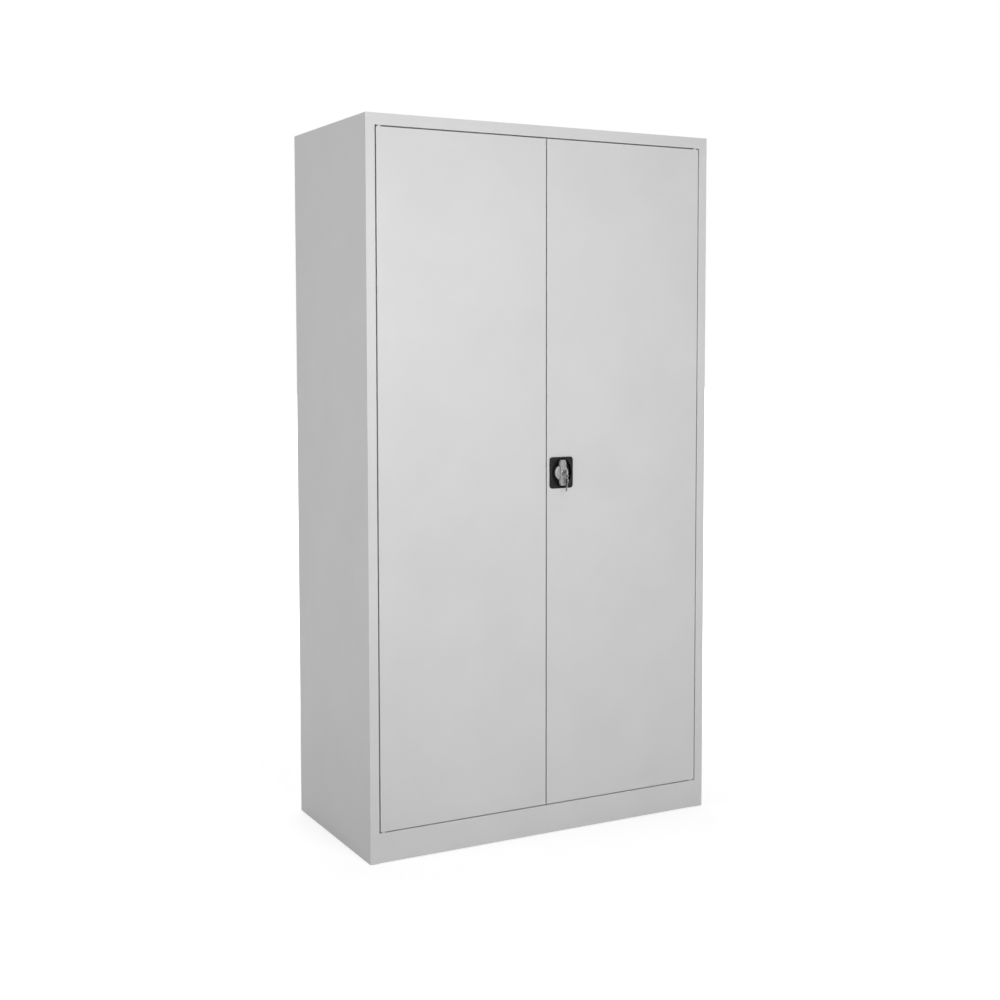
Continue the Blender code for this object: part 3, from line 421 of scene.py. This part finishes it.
for side, hand in ((-1, "Left"), (1, "Right")):
    addCornerWeld("cornerWeldTop" + hand, side, railLow, railHigh, railLow)
    addCornerWeld("cornerWeldFoot" + hand, side, plinthLow, plinthHigh, plinthHigh)
print("frame corners filled")


# Lock plate: satin black moulding with a sloped border and an oval finger dish

plate = {"width": 69, "height": 81.7, "proud": 5, "corner": 8, "border": 2.2, "slope": 2.0,
         "dishWidth": 57.5, "dishHeight": 75, "dishDepth": 11.5, "floorRound": 3,
         "mouthRound": 0.5, "faceRound": 0.4, "wall": 1.6, "shellSunk": 1.5, "bossHole": 11.4,
         "seam": 0.3}


def behind(distance):          # a place in millimetres behind the doors' face
    return doorFace + distance * mm


def across(width):          # limits in X, evenly about the lock
    return (lockX - width * mm / 2, lockX + width * mm / 2)


def upAndDown(height):          # limits in Z, evenly about the lock
    return (lockZ - height * mm / 2, lockZ + height * mm / 2)


def alongDepth(a, b):          # an edge that runs straight back
    return abs(a.x - b.x) < 1e-6 and abs(a.z - b.z) < 1e-6


def atDepth(distance):          # a test for edges that lie at one distance from the doors' face
    def test(a, b):
        return abs(a.y - behind(distance)) < 2e-5 and abs(b.y - behind(distance)) < 2e-5
    return test


def makeLockPlate():
    piece = addCube(across(plate["width"]), (behind(plate["slope"] - plate["proud"]),
                                             behind(-plate["seam"])), upAndDown(plate["height"]))
    bevelEdges(piece, alongDepth, plate["corner"] * mm, 8)
    pickFaces(piece, lambda middle, normal: normal.y < -0.9)
    bpy.ops.mesh.inset(thickness=plate["border"] * mm, depth=plate["slope"] * mm)
    bpy.ops.object.mode_set(mode="OBJECT")
    bevelEdges(piece, atDepth(-plate["proud"]), plate["faceRound"] * mm, 3)
    floorAt = plate["dishDepth"] - plate["proud"]
    wide, tall = (plate[word] + 2 * plate["wall"] for word in ("dishWidth", "dishHeight"))
    shell = addRound(wide / 2 * mm, (behind(-plate["shellSunk"]), behind(floorAt + plate["wall"])),
                     sides=96, stretch=tall / wide)
    weldOn(piece, shell)
    hollow = addRound(plate["dishWidth"] / 2 * mm, (behind(-plate["proud"] - overrun),
                                                    behind(floorAt)), sides=96,
                      stretch=plate["dishHeight"] / plate["dishWidth"])
    bevelEdges(hollow, atDepth(floorAt), plate["floorRound"] * mm, 5)
    hole = addRound(plate["bossHole"] * mm, (behind(floorAt - overrun), behind(floorAt + overrun)))
    cutAway(piece, hollow, hole)
    reach = plate["dishWidth"] / 2 * mm * 1.02          # takes in the dish's mouth alone
    bevelEdges(piece, lambda a, b: atDepth(-plate["proud"])(a, b)
               and (a.x - lockX) ** 2 + ((a.z - lockZ) * plate["dishWidth"]
                                         / plate["dishHeight"]) ** 2 < reach ** 2,
               plate["mouthRound"] * mm, 3)
    piece.name = piece.data.name = "lockPlate"
    return onNode(tidyFaces(piece), "lock_plate")


makeLockPlate()
print("lock plate made")


# Handle: grey disc with a raised rim, and a waisted grip with a finger channel in each wing

handle = {"disc": 19.8, "hub": 17.2, "hubStart": 2.6, "discEdge": 4.6, "rim": 6.4, "rimSlope": 5.0,
          "rimRound": 1.1, "underside": 5.6, "length": 66.8, "width": 18, "endWidth": 12.5,
          "waist": 14.6, "taper": 7.5, "head": 14.5, "necking": 6, "proud": 13.5,
          "edgeRound": 0.7, "sideRound": 1.0, "channelWidth": 4.8, "channelDepth": 0.8,
          "channelFrom": 9.5, "channelTo": 29, "channelRound": 2.2, "collar": 7.0,
          "collarProud": 0.4, "collarRound": 0.35, "bore": 6.2, "boreEnd": 6.7, "boss": 11,
          "bossEnd": 10.2, "spindle": 8, "spindleRound": 0.6, "discBack": 6.2, "lap": 1}


def makeHandle():
    disc = addRound(handle["disc"] * mm, (behind(-handle["discEdge"]),
                                          behind(-handle["hubStart"])), sides=96)
    pickFaces(disc, lambda middle, normal: normal.y < -0.999)
    bpy.ops.mesh.inset(thickness=handle["rimSlope"] * mm,
                       depth=(handle["rim"] - handle["discEdge"]) * mm)
    bpy.ops.object.mode_set(mode="OBJECT")
    bevelEdges(disc, atDepth(-handle["discEdge"]), handle["rimRound"] * mm, 5)
    bevelEdges(disc, atDepth(-handle["rim"]), handle["rimRound"] * mm, 4)
    hub = addRound(handle["hub"] * mm, (behind(-handle["hubStart"] - handle["lap"]),
                                        behind(handle["discBack"])), sides=96)
    weldOn(disc, hub)
    grip = addCube(across(handle["width"]), (behind(-handle["proud"]),
                                             behind(-handle["underside"])),
                   upAndDown(handle["length"]))
    half = handle["length"] / 2
    neck = half - handle["head"]
    levels = [neck, neck - handle["necking"], half - handle["taper"]]
    only(grip)
    bpy.ops.object.mode_set(mode="EDIT")
    for level in [side * z for z in levels for side in (-1, 1)]:
        bpy.ops.mesh.select_all(action="SELECT")
        bpy.ops.mesh.bisect(plane_co=(lockX, doorFace, lockZ + level * mm), plane_no=(0, 0, 1))
    bpy.ops.object.mode_set(mode="OBJECT")
    for point in grip.data.vertices:
        height = abs(point.co.z - lockZ) / mm
        share = handle["waist"] if height < neck - 1 else handle["width"]
        share = handle["endWidth"] if height > half - 1 else share
        point.co.x = lockX + (point.co.x - lockX) * share / handle["width"]
    dissolveFlat(grip)
    bevelEdges(grip, alongDepth, handle["sideRound"] * mm, 4)
    bevelEdges(grip, atDepth(-handle["proud"]), handle["edgeRound"] * mm, 4)
    for side in (-1, 1):
        zs = sorted(lockZ + side * handle[word] * mm for word in ("channelFrom", "channelTo"))
        channel = addCube(across(handle["channelWidth"]),
                          (behind(-handle["proud"] - overrun),
                           behind(handle["channelDepth"] - handle["proud"])), zs)
        bevelEdges(channel, alongDepth, handle["channelRound"] * mm, 5)
        cutAway(grip, channel)
    collar = addRound(handle["collar"] * mm, (behind(-handle["proud"] - handle["collarProud"]),
                                              behind(-handle["underside"] + 2 * handle["lap"])))
    bevelEdges(collar, atDepth(-handle["proud"] - handle["collarProud"]),
               handle["collarRound"] * mm, 3)
    boss = addRound(handle["boss"] * mm, (behind(handle["discBack"] - 2 * handle["lap"]),
                                          behind(handle["bossEnd"])))
    spindleBar = addCube(across(handle["spindle"]), (behind(handle["bossEnd"] - handle["lap"]),
                                                     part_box("handle_knob")[1].y),
                         upAndDown(handle["spindle"]))
    bevelEdges(spindleBar, alongDepth, handle["spindleRound"] * mm, 2)
    piece = weldOn(disc, grip, collar, boss, spindleBar)
    cutAway(piece, addRound(handle["bore"] * mm, (behind(-handle["proud"] - overrun),
                                                  behind(handle["boreEnd"]))))
    piece.name = piece.data.name = "swivelHandle"
    return onNode(tidyFaces(piece), "handle_knob")


makeHandle()
print("handle made")


# Cylinder plug, its two keys and their split ring

plug = {"radius": 5.9, "front": 14.1, "back": 6.4, "edgeRound": 0.5, "slotWidth": 2.6,
        "slotHeight": 7.8, "slotEnd": 5.4, "slotRound": 0.5}
keys = {"bow": 9.0, "pressing": 3.4, "pressingShift": 1.6, "pressingDepth": 0.3,
        "groove": 1.3, "grooveDepth": 0.45, "grooveShift": 0.8, "shoulder": 1, "bladeLength": 18}
ring = {"radius": 5.2, "wire": 0.29, "coils": (-0.3, 0.3)}


def makePlug():
    piece = addRound(plug["radius"] * mm, (behind(-plug["front"]), behind(plug["back"])))
    bevelEdges(piece, atDepth(-plug["front"]), plug["edgeRound"] * mm, 4)
    slot = addCube(across(plug["slotWidth"]), (behind(-plug["front"] - overrun),
                                               behind(plug["slotEnd"])),
                   upAndDown(plug["slotHeight"]))
    bevelEdges(slot, alongDepth, plug["slotRound"] * mm, 2)
    cutAway(piece, slot)
    piece.name = piece.data.name = "cylinderPlug"
    return onNode(tidyFaces(piece), "lock_plug")


def makeKey(node, hanging):          # cut blade, milled groove and pressed bow, either way up
    piece = finerCopy(node)
    low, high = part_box(node)
    middle = (low + high) / 2
    way = Vector((0, 0, -1)) if hanging else Vector((0, 1, 0))
    end = Vector((middle.x, middle.y, high.z)) if hanging else Vector((middle.x, low.y, middle.z))
    half = (high.x - low.x) / 2
    for side in (-1, 1):
        place = end + way * (keys["bow"] + keys["pressingShift"]) * mm
        place.x = middle.x + side * (half + (overrun / 2 - keys["pressingDepth"]) * mm)
        bpy.ops.mesh.primitive_cylinder_add(vertices=40, radius=keys["pressing"] * mm,
                                            depth=overrun * mm, location=place,
                                            rotation=(0, pi / 2, 0))
        pressing = settle(bpy.context.object)
        start = end + way * (2 * keys["bow"] + keys["shoulder"]) * mm
        stop = start + way * keys["bladeLength"] * mm
        deep = sorted((middle.x + side * (half - keys["grooveDepth"] * mm),
                       middle.x + side * (half + overrun * mm)))
        centre = (middle.y if hanging else middle.z) + side * keys["grooveShift"] * mm
        width = (centre - keys["groove"] * mm / 2, centre + keys["groove"] * mm / 2)
        if hanging:
            groove = addCube(deep, width, sorted((start.z, stop.z)))
        else:
            groove = addCube(deep, sorted((start.y, stop.y)), width)
        cutAway(piece, pressing, groove)
    piece.name = piece.data.name = "spareKey" if hanging else "fittedKey"
    return onNode(tidyFaces(piece), node)


def makeRing():
    low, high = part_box("key_ring")
    middle = (low + high) / 2
    coils = []
    for shift in ring["coils"]:
        bpy.ops.mesh.primitive_torus_add(location=(middle.x, middle.y + shift * mm, middle.z),
                                         rotation=(pi / 2, 0, 0), major_segments=72,
                                         minor_segments=12, major_radius=ring["radius"] * mm,
                                         minor_radius=ring["wire"] * mm)
        coils.append(settle(bpy.context.object))
    only(coils[0])
    coils[1].select_set(True)
    bpy.ops.object.join()
    piece = named("splitRing")
    return onNode(tidyFaces(piece, 60), "key_ring")


makePlug()
makeKey("key", False)
makeKey("spare_key", True)
makeRing()
print("plug, keys and ring made")


# Fixings inside the doors: zinc-plated cross-head screws, modelled once and copied

screw = {"head": 2.6, "height": 1.5, "dome": 1.1, "slotWidth": 0.7, "slotLength": 2.8,
         "slotDepth": 0.9, "smallSize": 0.75}
caseHoles, guideHoles, keeperHoles = (24, 39), (7.2, 0), (0, 7.4)          # from the middle


def makeScrew():          # stands at the origin with its head's top towards +Y
    bpy.ops.mesh.primitive_cylinder_add(vertices=32, radius=screw["head"] * mm,
                                        depth=screw["height"] * mm, rotation=(pi / 2, 0, 0),
                                        location=(0, screw["height"] * mm / 2, 0))
    piece = settle(bpy.context.object)
    top = screw["height"] * mm
    bevelEdges(piece, lambda a, b: a.y > top - 1e-6 and b.y > top - 1e-6,
               screw["dome"] * mm, 5)
    for width, length in ((screw["slotWidth"], screw["slotLength"]),
                          (screw["slotLength"], screw["slotWidth"])):
        cutAway(piece, addCube((-width * mm / 2, width * mm / 2),
                               (top - screw["slotDepth"] * mm, top + overrun * mm),
                               (-length * mm / 2, length * mm / 2)))
    return tidyFaces(piece)


def scatter(pattern, name, places, body, material, slotName, size=1.0):
    copies = []
    for place in places:
        piece = pattern.copy()
        piece.data = pattern.data.copy()
        bpy.context.collection.objects.link(piece)
        piece.scale = (size, size, size)
        piece.location = place
        copies.append(settle(piece))
    for piece in copies:
        piece.select_set(True)
    bpy.context.view_layer.objects.active = copies[0]
    bpy.ops.object.join()
    piece = named(name)
    return finishPiece(piece, material, body, slotName)


def rearCorners(node, dx, dz):          # places on a node's rear face, each side of its middle
    low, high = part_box(node)
    middle = (low + high) / 2
    return [(middle.x + i * dx * mm, high.y, middle.z + k * dz * mm)
            for i in ((-1, 1) if dx else (0,)) for k in ((-1, 1) if dz else (0,))]


screwPattern = makeScrew()
scatter(screwPattern, "lockCaseScrews", rearCorners("lock_case", *caseHoles), "door_right",
        brightZinc, "zinc_plate")
for end in ("upper", "lower"):
    scatter(screwPattern, end + "GuideScrews", rearCorners("rod_guide_" + end, *guideHoles),
            "door_right", brightZinc, "zinc_plate", screw["smallSize"])
scatter(screwPattern, "keeperScrews", rearCorners("bolt_keeper", *keeperHoles), "door_left",
        brightZinc, "zinc_plate", screw["smallSize"])
bpy.data.objects.remove(screwPattern)
print("screws set")


# Spot welds under the paint: shallow dimples where the sheets are joined

weldMark = {"radius": 2.8, "rise": 0.08, "edge": 0.5, "dish": 0.5, "sink": 0.06,
            "pitch": 140, "endMargin": 60, "flangeLine": 490, "stiffenerInset": 7,
            "stiffenerFace": 1.9}


def makeWeldMark():          # stands at the origin and faces +Y
    bpy.ops.mesh.primitive_cylinder_add(vertices=24, radius=weldMark["radius"] * mm,
                                        depth=weldMark["rise"] * mm, rotation=(pi / 2, 0, 0),
                                        location=(0, weldMark["rise"] * mm / 2, 0))
    piece = settle(bpy.context.object)
    pickFaces(piece, lambda middle, normal: normal.y > 0.9)
    bpy.ops.mesh.inset(thickness=weldMark["edge"] * mm)
    bpy.ops.mesh.inset(thickness=weldMark["dish"] * mm, depth=-weldMark["sink"] * mm)
    bpy.ops.object.mode_set(mode="OBJECT")
    return tidyFaces(piece, 80)


def column(x, y, low, high):
    count = int((high - low - 2 * weldMark["endMargin"] * mm) / (weldMark["pitch"] * mm)) + 1
    spare = (high - low - (count - 1) * weldMark["pitch"] * mm) / 2
    return [(x, y, low + spare + step * weldMark["pitch"] * mm) for step in range(count)]


markPattern = makeWeldMark()
low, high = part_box("side_panel_left")
rearMarks = [place for side in (-1, 1)
             for place in column(side * weldMark["flangeLine"] * mm, high.y, low.z, high.z)]
scatter(markPattern, "rearFlangeWelds", rearMarks, "carcass", lightGreyPowderCoat, "powder_coat")
for hand in ("left", "right"):
    low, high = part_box("door_stiffener_" + hand)
    inset = weldMark["stiffenerInset"] * mm
    marks = [place for x in (low.x + inset, high.x - inset)
             for place in column(x, behind(weldMark["stiffenerFace"]), low.z, high.z)]
    scatter(markPattern, hand + "StiffenerWelds", marks, "door_" + hand, lightGreyPowderCoat,
            "powder_coat")
bpy.data.objects.remove(markPattern)
print("weld marks set")


# Camera, floor and lights

studio = {"back": 3.3645, "left": 1.8876, "height": 1.3036, "yaw": 28.68, "pitch": -3.858,
          "lens": 53.565, "sensor": 36, "shift": (-0.0306, -0.060), "aim": (0, 0, 1.1),
          "floorSize": 60, "floorLevel": -0.5 * mm}
bpy.ops.object.camera_add(location=(-studio["left"], doorFace - studio["back"], studio["height"]),
                          rotation=(radians(90 + studio["pitch"]), 0, -radians(studio["yaw"])))
camera = bpy.context.object
camera.data.lens = studio["lens"]
camera.data.sensor_width = studio["sensor"]
camera.data.shift_x, camera.data.shift_y = studio["shift"]
bpy.context.scene.camera = camera
bpy.context.scene.view_settings.view_transform = "Standard"

lamps = {"frontSoftbox": ((-0.3, -2.8, 1.7), (1.2, 1.0), 47.5),          # place, size, watts
         "leftSoftbox": ((-2.8, -0.4, 1.7), (1.4, 1.4), 19.8),
         "rightSoftbox": ((3.2, 1.3, 1.7), (2.2, 2.0), 24),
         "rearSoftbox": ((0.5, 3.6, 1.9), (2.4, 2.0), 52),
         "overheadSoftbox": ((0, 0.9, 4.2), (2.4, 1.2), 25)}
for name, (place, size, power) in lamps.items():
    bpy.ops.object.light_add(type="AREA", location=place)
    lamp = bpy.context.object
    lamp.name = name
    lamp.data.shape = "RECTANGLE"
    lamp.data.size, lamp.data.size_y = size
    lamp.data.energy = power
    lamp.visible_glossy = name == "frontSoftbox"          # the others leave no streak on the sheets
    aim = Vector(studio["aim"]) - Vector(place)
    lamp.rotation_euler = aim.to_track_quat("-Z", "Y").to_euler()

paleLight = {"fill": 0.20, "white": "#ffffff", "nearShare": 0.40, "nearReach": 0.9,
             "farReach": 1.7, "glow": 1.7, "floor": "#dcdcdc"}
world = bpy.data.worlds.new("paleStudio")
bpy.context.scene.world = world
world.use_nodes = True
sky = world.node_tree
backdrop = sky.nodes["Background"]
rays = addNode(sky, "ShaderNodeLightPath")
seen = addNode(sky, "ShaderNodeMath", {0: rays.outputs["Is Camera Ray"],
                                       1: rays.outputs["Is Glossy Ray"]}, operation="MAXIMUM")
seen = addNode(sky, "ShaderNodeMath", {0: seen.outputs[0],
                                       1: rays.outputs["Is Transmission Ray"]},
               operation="MAXIMUM")
level = addNode(sky, "ShaderNodeMapRange", {"Value": seen.outputs[0],
                                            "To Min": paleLight["fill"], "To Max": 1.0})
sky.links.new(level.outputs["Result"], backdrop.inputs["Strength"])
backdrop.inputs["Color"].default_value = hexColour(paleLight["white"])

# Floor: it takes the cabinet's shadow near by, and glows as white as the backdrop further out
bpy.ops.mesh.primitive_plane_add(size=studio["floorSize"], location=(0, 0, studio["floorLevel"]))
floor = named("studioFloor")
floorPaint, tree, shader = newMaterial("matWhiteStudioFloor", Roughness=0.9)
shader.inputs["Base Color"].default_value = hexColour(paleLight["floor"])
rays = addNode(tree, "ShaderNodeLightPath")
strength = addNode(tree, "ShaderNodeMapRange", {"Value": rays.outputs["Is Camera Ray"],
                                                "To Min": 1.0, "To Max": paleLight["glow"]})
glow = addNode(tree, "ShaderNodeEmission", {"Color": hexColour(paleLight["white"]),
                                            "Strength": strength.outputs["Result"]})
place = addNode(tree, "ShaderNodeTexCoord").outputs["Object"]
distance = addNode(tree, "ShaderNodeVectorMath", {0: place}, operation="LENGTH")
near = addNode(tree, "ShaderNodeMapRange", {"Value": distance.outputs["Value"],
                                            "From Min": paleLight["nearReach"],
                                            "From Max": paleLight["farReach"],
                                            "To Min": paleLight["nearShare"], "To Max": 1.0},
               interpolation_type="SMOOTHSTEP")
seen = addNode(tree, "ShaderNodeMath", {0: rays.outputs["Is Camera Ray"],
                                        1: rays.outputs["Is Glossy Ray"]}, operation="MAXIMUM")
share = addNode(tree, "ShaderNodeMath", {0: seen.outputs[0], 1: near.outputs["Result"]},
                operation="MULTIPLY")
both = addNode(tree, "ShaderNodeMixShader", {0: share.outputs[0], 1: shader.outputs["BSDF"],
                                             2: glow.outputs["Emission"]})
tree.links.new(both.outputs["Shader"], tree.nodes["Material Output"].inputs["Surface"])
floor.data.materials.append(floorPaint)
floor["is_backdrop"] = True
print("studio ready")

low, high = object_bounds()
